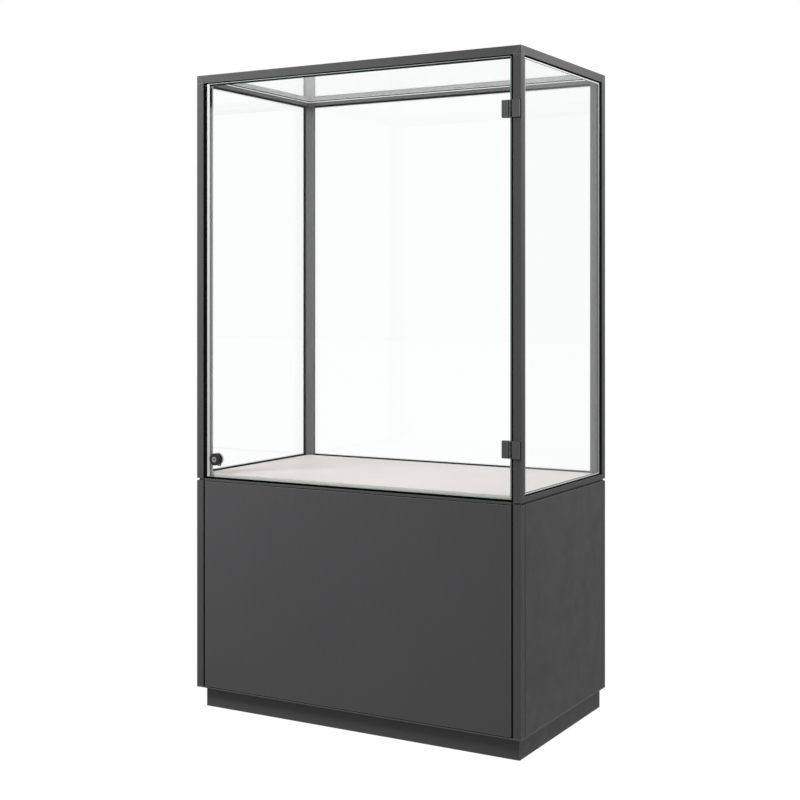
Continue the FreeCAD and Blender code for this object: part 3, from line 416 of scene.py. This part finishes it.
# Painted shade: a dark grey-green line inside the right pane's bead.
PAINTED_SHADE_TAPE = ground_glass("shade_line_tape", dark=(0.24, 0.30, 0.28), light=(0.29, 0.36, 0.33))
# Turned bright metal for the lock face ring, also used for the painted highlight round the key slot.
TURNED_METAL_AND_HIGHLIGHT = drawn_metal("turned_metal_and_highlight", level=235, along=ALONG_Y, smooth=0.28, rough=0.4)


def dress_nodes():
    """Give each CAD node its finish, and keep the faces of the glass flat."""
    for entry in frame["record"]["subparts"]:
        part = nodes[entry["node"]]
        part.data.materials.clear()
        part.data.materials.append(OWN_FINISH.get(part.name, FINISHES[entry["material_slot"]]))
        if entry["material_slot"] == "clear_glass":
            part.data.shade_flat()


# Small pieces that ride on the frame

def add_piece(name, body, slot, verts, faces, finish=None):
    mesh = bpy.data.meshes.new(name)
    mesh.from_pydata(verts, [], faces)
    shape = bmesh.new()
    shape.from_mesh(mesh)
    bmesh.ops.recalc_face_normals(shape, faces=shape.faces)
    shape.to_mesh(mesh)
    shape.free()
    mesh.materials.append(finish or FINISHES[slot])
    piece = bpy.data.objects.new(name, mesh)
    bpy.context.scene.collection.objects.link(piece)
    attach(piece, body)


def block(low, high):
    """The corners and faces of a box."""
    xs, ys, zs = zip(low, high)
    verts = [(x, y, z) for x in xs for y in ys for z in zs]
    faces = [(0, 1, 3, 2), (4, 6, 7, 5), (0, 4, 5, 1), (2, 3, 7, 6), (0, 2, 6, 4), (1, 5, 7, 3)]
    return verts, faces


def joined(shapes):
    """Several (corners, faces) pairs as one."""
    verts, faces = [], []
    for some_verts, some_faces in shapes:
        faces += [tuple(index + len(verts) for index in face) for face in some_faces]
        verts += some_verts
    return verts, faces


def loop_band(inner, outer):
    """The corners and faces of a closed band: two rings, each given at the front and at the back."""
    rings = [outer[0], inner[0], inner[1], outer[1]]
    count = len(rings[0])
    verts = [corner for ring in rings for corner in ring]
    faces = []
    for ring in range(len(rings)):
        here = ring * count
        there = (ring + 1) % len(rings) * count
        for step in range(count):
            after = (step + 1) % count
            faces.append((here + step, here + after, there + after, there + step))
    return verts, faces


# Sealant beads with a painted highlight, and a tape and a black strip of painted shade, on the panes

PANE_AXES = {"left_glass": X, "right_glass": X, "back_glass": Y, "top_glass": Z}
GASKET_COVER = 0.0085
BEAD_WIDTH = 0.0022
TAPE_WIDTH = 0.0025
LINE_PROUD = 0.0005
LINE_SEAT = 0.00005
REAR_SHADE_STRIP = 0.013
TOP_BEAD_DROP = 0.0018
TOP_BEAD_WIDTH = 0.0034
TOP_BEAD_DEPTH = 0.0012


def rectangle(low, high, inset, axis, level):
    """Four corners round a pane's face, at a level along the axis that it faces."""
    across, up = [i for i in (X, Y, Z) if i != axis]
    corners = []
    for at_across, at_up in ((0, 0), (1, 0), (1, 1), (0, 1)):
        corner = [0.0, 0.0, 0.0]
        corner[axis] = level
        corner[across] = (low[across] + inset, high[across] - inset)[at_across]
        corner[up] = (low[up] + inset, high[up] - inset)[at_up]
        corners.append(tuple(corner))
    return corners


def pane_band(low, high, axis, start, width):
    """A flat band round the outer face of a pane, from a distance inside its edge."""
    middle_of_case = (cad_box[0][axis] + cad_box[1][axis]) / 2
    far_side = low[axis] > middle_of_case
    face = high[axis] if far_side else low[axis]
    levels = [face + (rise if far_side else -rise) for rise in (LINE_SEAT, LINE_PROUD)]
    rings = []
    for inset in (start + width, start):
        rings.append([rectangle(low, high, inset, axis, level) for level in levels])
    return loop_band(*rings)


def add_pane_lines():
    """A pale sealant bead beside the gasket lip of each fixed pane, its pale glowing colour a painted
    highlight for the bright line at the pane's edge.
    """
    for pane, axis in PANE_AXES.items():
        low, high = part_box(pane)
        if pane == "right_glass":
            high.y -= REAR_SHADE_STRIP
        bead = pane_band(low, high, axis, GASKET_COVER, BEAD_WIDTH)
        add_piece(pane.replace("glass", "highlight_sealant_bead"), "case", "seal_plastic", *bead, PAINTED_GLOW_SEALANT)


def add_right_lines():
    """A grey-green tape inside the bead of the right pane and a black rubber strip along its rear side,
    both painted shade.
    """
    low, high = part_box("right_glass")
    near = (high.x, high.y - GASKET_COVER - REAR_SHADE_STRIP, low.z + GASKET_COVER)
    far = (high.x + LINE_PROUD, high.y - GASKET_COVER, high.z - GASKET_COVER)
    add_piece("right_rear_shade_strip", "case", "gasket_rubber", *block(near, far))
    high.y -= REAR_SHADE_STRIP
    tape = pane_band(low, high, X, GASKET_COVER + BEAD_WIDTH, TAPE_WIDTH)
    add_piece("right_painted_shade_tape", "case", "seal_plastic", *tape, PAINTED_SHADE_TAPE)


def add_top_bead():
    """A pale bead along the inner faces of the top rails, where they meet the top pane, as a painted
    highlight.
    """
    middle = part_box("top_glass")[0].z - TOP_BEAD_DROP
    levels = [middle - TOP_BEAD_WIDTH / 2, middle + TOP_BEAD_WIDTH / 2]
    low = (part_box("top_left_rail")[1].x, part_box("top_front_rail")[1].y)
    high = (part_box("top_right_rail")[0].x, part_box("top_rear_rail")[0].y)
    rings = []
    for inset in (TOP_BEAD_DEPTH, 0.0):
        rings.append([rectangle(low, high, inset, Z, level) for level in levels])
    add_piece("top_rail_highlight_bead", "case", "seal_plastic", *loop_band(*rings), PAINTED_GLOW_SEALANT)


# Rubber pads under the hinge plates, whose lip is a painted shadow outline

HINGE_HEIGHT = 0.043
SHADOW_LIP = 0.0009
PAD_THICKNESS = 0.0006


def add_hinge_shadow_pads():
    """A pad between each hinge leaf and its post, and between each clamp and the door glass, its black lip
    a painted shadow round the plate.
    """
    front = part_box("door_glass")[0].y
    low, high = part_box("hinge_leaves")
    post_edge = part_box("post_front_right")[0].x
    clamp_low, clamp_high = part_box("hinge_back_plates")
    spans = {
        "hinge_leaf_shadow_pads": ("case", post_edge, high.x + SHADOW_LIP),
        "hinge_clamp_shadow_pads": ("glass_door", clamp_low.x - SHADOW_LIP, clamp_high.x),
    }
    for name, (body, left, right) in spans.items():
        pads = []
        for bottom in (low.z, high.z - HINGE_HEIGHT):
            near = (left, front - PAD_THICKNESS, bottom - SHADOW_LIP)
            far = (right, front, bottom + HINGE_HEIGHT + SHADOW_LIP)
            pads.append(block(near, far))
        add_piece(name, body, "gasket_rubber", *joined(pads))


# Ground edges of the door glass

EDGE_SKIN = 0.0002
EDGE_LINE = 0.0012


def add_door_edges():
    """The ground hinge edge, top and bottom of the door, lightened and glowing as painted light, and a pale
    painted glint along the arris of its top and bottom.
    """
    low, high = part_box("door_glass")
    skins = [
        block((high.x, low.y, low.z), (high.x + EDGE_SKIN, high.y, high.z)),
        block((low.x, low.y, high.z), (high.x, high.y, high.z + EDGE_SKIN)),
        block((low.x, low.y, low.z - EDGE_SKIN), (high.x, high.y, low.z)),
    ]
    lines = [
        block((low.x, low.y - EDGE_SKIN, high.z - EDGE_LINE), (high.x, low.y, high.z)),
        block((low.x, low.y - EDGE_SKIN, low.z), (high.x, low.y, low.z + EDGE_LINE)),
    ]
    add_piece("door_glass_edges", "glass_door", "clear_glass", *joined(skins), GROUND_EDGE_PAINTED_GLOW)
    add_piece("door_glass_arris_glint", "glass_door", "clear_glass", *joined(lines), ARRIS_PAINTED_GLINT)


# Face of the lock

FACE_STEPS = 64
FACE_PROUD = 0.0003
FACE_INNER = 0.0054
FACE_RIM = 0.0002
KEYWAY_RIM = 0.0006
KEYWAY_WIDTH = 0.0018
KEYWAY_HEIGHT = 0.008


def circle(middle, radius, level):
    turns = [2 * math.pi * step / FACE_STEPS for step in range(FACE_STEPS)]
    return [(middle.x + radius * math.cos(t), level, middle.z + radius * math.sin(t)) for t in turns]


def keyway(middle, margin, level):
    wide = KEYWAY_WIDTH / 2 + margin
    high = KEYWAY_HEIGHT / 2 + margin
    return [(middle.x + x * wide, level, middle.z + z * high) for x, z in CORNER_SIGNS]


def add_lock_face():
    """A bright ring on the face of the plug, and a bright rim round its key slot that is a painted
    highlight.
    """
    low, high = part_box("lock_plug")
    middle = (low + high) / 2
    radius = (high.x - low.x) / 2 - FACE_RIM
    levels = (low.y - FACE_PROUD, low.y)
    ring = loop_band(*[[circle(middle, size, y) for y in levels] for size in (FACE_INNER, radius)])
    # The rim round the key slot is a painted highlight.
    rim = loop_band(*[[keyway(middle, margin, y) for y in levels] for margin in (0.0, KEYWAY_RIM)])
    add_piece("lock_face_ring", "lock_core", "lock_satin", *joined([ring, rim]), TURNED_METAL_AND_HIGHLIGHT)


# Studio

SURROUND_SEEN = 1.0
SURROUND_MIRRORED = 0.7
WORLD_ON_PAINT = 0.25
FLOOR_ON_PAINT = 0.16
FLOOR_HALF = 30.0
FLOOR_LEVEL = 60
LAMPS = {
    "key_left": {"place": (-1.4, -1.7, 2.3), "aim": (-0.5, 0, 1.3), "size": (0.9, 0.9), "power": 35},
    "fill_right": {"place": (1.15, -0.1, 2.35), "aim": (0.5, 0, 1.77), "size": (0.4, 0.8), "power": 11},
    "top_soft": {"place": (0.2, -0.2, 3.0), "aim": (0, 0, 1.0), "size": (1.6, 1.2), "power": 15},
}


def set_surround(tree, strength, on_paint):
    """The white surround is seen at full strength, is mirrored at less and lights paint at less still."""
    path = tree.nodes.new("ShaderNodeLightPath")
    kinds = (
        ("Is Camera Ray", SURROUND_SEEN),
        ("Is Glossy Ray", SURROUND_MIRRORED),
        ("Is Transmission Ray", SURROUND_SEEN),
        ("Is Diffuse Ray", on_paint),
    )
    before = None
    for ray, there in kinds:
        change = tree.nodes.new("ShaderNodeMix")
        tree.links.new(path.outputs[ray], change.inputs["Factor"])
        change.inputs["B"].default_value = there
        change.inputs["A"].default_value = on_paint
        if before:
            tree.links.new(before, change.inputs["A"])
        before = change.outputs["Result"]
    tree.links.new(before, strength)


def add_floor():
    corners = [(x * FLOOR_HALF, y * FLOOR_HALF, 0) for x, y in CORNER_SIGNS]
    mesh = bpy.data.meshes.new("floor")
    mesh.from_pydata(corners, [], [range(len(corners))])
    m = Nodes("floor_white")
    m.set(Base_Color=(*grey(FLOOR_LEVEL), 1.0), Roughness=0.9, Specular_IOR_Level=0.0, Emission_Color=WHITE)
    set_surround(m.tree, m.shader.inputs["Emission Strength"], FLOOR_ON_PAINT)
    mesh.materials.append(m.material)
    floor = bpy.data.objects.new("floor", mesh)
    bpy.context.scene.collection.objects.link(floor)


def add_lamp(name, place, aim, size, power):
    """A soft lamp that is not mirrored in the glass or seen through it."""
    data = bpy.data.lights.new(name, "AREA")
    data.shape = "RECTANGLE"
    data.size, data.size_y = size
    data.energy = power
    lamp = bpy.data.objects.new(name, data)
    lamp.visible_glossy = False
    lamp.visible_transmission = False
    lamp.location = place
    x, y, z = (there - here for there, here in zip(aim, place))
    lamp.rotation_euler = (math.atan2(math.hypot(x, y), -z), 0, math.atan2(-x, y))
    bpy.context.scene.collection.objects.link(lamp)


def add_studio():
    world = bpy.data.worlds.new("studio")
    world.use_nodes = True
    background = world.node_tree.nodes["Background"]
    background.inputs["Color"].default_value = WHITE
    set_surround(world.node_tree, background.inputs["Strength"], WORLD_ON_PAINT)
    bpy.context.scene.world = world
    for name, lamp in LAMPS.items():
        add_lamp(name, **lamp)
    add_floor()
    bpy.context.scene.view_settings.view_transform = "Standard"


add_camera()
dress_nodes()
add_pane_lines()
add_right_lines()
add_top_bead()
add_hinge_shadow_pads()
add_door_edges()
add_lock_face()
add_studio()
